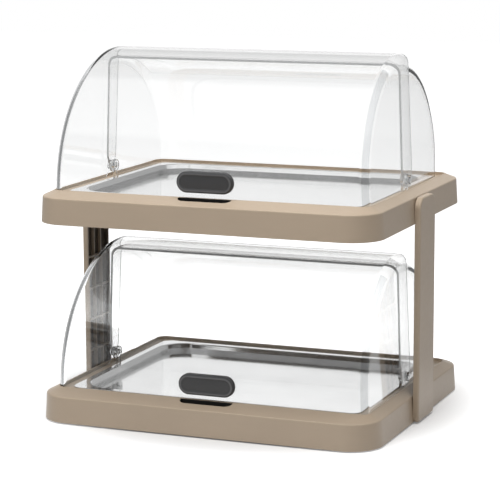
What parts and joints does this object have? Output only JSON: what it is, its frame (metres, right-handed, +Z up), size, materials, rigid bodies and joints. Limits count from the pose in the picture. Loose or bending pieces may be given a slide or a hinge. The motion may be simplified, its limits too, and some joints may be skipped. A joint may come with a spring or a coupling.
{
  "type": "chilled roll-top display",
  "caption": "Tabletop chilled display: stacked trays over cooling packs, each under a clear hood of nested shells that roll open, on side posts.",
  "frame": {"origin": "on the table, under the centre of the bases", "axes": "+X to the right, -Y to the front with the handles, +Z up"},
  "size_m": [0.454, 0.374, 0.4503],
  "materials": {
    "taupe_plastic": "satin taupe moulded plastic with a fine grain",
    "clear_plastic": "polished clear moulded plastic, darker along its edges",
    "tray_steel": "stainless steel sheet with a fine brushed grain",
    "handle_plastic": "dark grey moulded plastic with a soft sheen",
    "pack_plastic": "blue blow-moulded plastic",
    "cap_plastic": "white moulded plastic",
    "screw_steel": "plain steel",
    "foot_rubber": "matte black rubber"
  },
  "bodies": {
    "root": {"lower_base": "taupe_plastic", "lower_tray": "tray_steel", "lower_left_cold_pack": "pack_plastic", "lower_left_pack_cap": "cap_plastic", "lower_left_pivot_bracket": "clear_plastic", "lower_left_pivot_pin": "clear_plastic", "lower_left_front_post_screw": "screw_steel", "lower_left_rear_post_screw": "screw_steel", "lower_right_cold_pack": "pack_plastic", "lower_right_pack_cap": "cap_plastic", "lower_right_pivot_bracket": "clear_plastic", "lower_right_pivot_pin": "clear_plastic", "lower_right_front_post_screw": "screw_steel", "lower_right_rear_post_screw": "screw_steel", "upper_base": "taupe_plastic", "upper_tray": "tray_steel", "upper_left_cold_pack": "pack_plastic", "upper_left_pack_cap": "cap_plastic", "upper_left_pivot_bracket": "clear_plastic", "upper_left_pivot_pin": "clear_plastic", "upper_left_front_post_screw": "screw_steel", "upper_left_rear_post_screw": "screw_steel", "upper_right_cold_pack": "pack_plastic", "upper_right_pack_cap": "cap_plastic", "upper_right_pivot_bracket": "clear_plastic", "upper_right_pivot_pin": "clear_plastic", "upper_right_front_post_screw": "screw_steel", "upper_right_rear_post_screw": "screw_steel", "left_post": "taupe_plastic", "right_post": "taupe_plastic", "front_left_foot": "foot_rubber", "front_right_foot": "foot_rubber", "rear_left_foot": "foot_rubber", "rear_right_foot": "foot_rubber"},
    "lower_front_hood": {"lower_front_shell": "clear_plastic", "lower_handle": "handle_plastic", "lower_left_handle_screw": "screw_steel", "lower_right_handle_screw": "screw_steel"},
    "lower_rear_hood": {"lower_rear_shell": "clear_plastic"},
    "upper_front_hood": {"upper_front_shell": "clear_plastic", "upper_handle": "handle_plastic", "upper_left_handle_screw": "screw_steel", "upper_right_handle_screw": "screw_steel"},
    "upper_rear_hood": {"upper_rear_shell": "clear_plastic"}
  },
  "joints": [
    {"name": "lower_front_hood_hinge", "type": "hinge", "parent": "root", "child": "lower_front_hood", "pos_m": [0, 0, 0.0515], "axis": [-1, 0, 0], "range_deg": [0, 85]},
    {"name": "lower_rear_hood_hinge", "type": "hinge", "parent": "root", "child": "lower_rear_hood", "pos_m": [0, 0, 0.0515], "axis": [1, 0, 0], "range_deg": [0, 85]},
    {"name": "upper_front_hood_hinge", "type": "hinge", "parent": "root", "child": "upper_front_hood", "pos_m": [0, 0, 0.2978], "axis": [-1, 0, 0], "range_deg": [0, 85]},
    {"name": "upper_rear_hood_hinge", "type": "hinge", "parent": "root", "child": "upper_rear_hood", "pos_m": [0, 0, 0.2978], "axis": [1, 0, 0], "range_deg": [0, 85]}
  ]
}
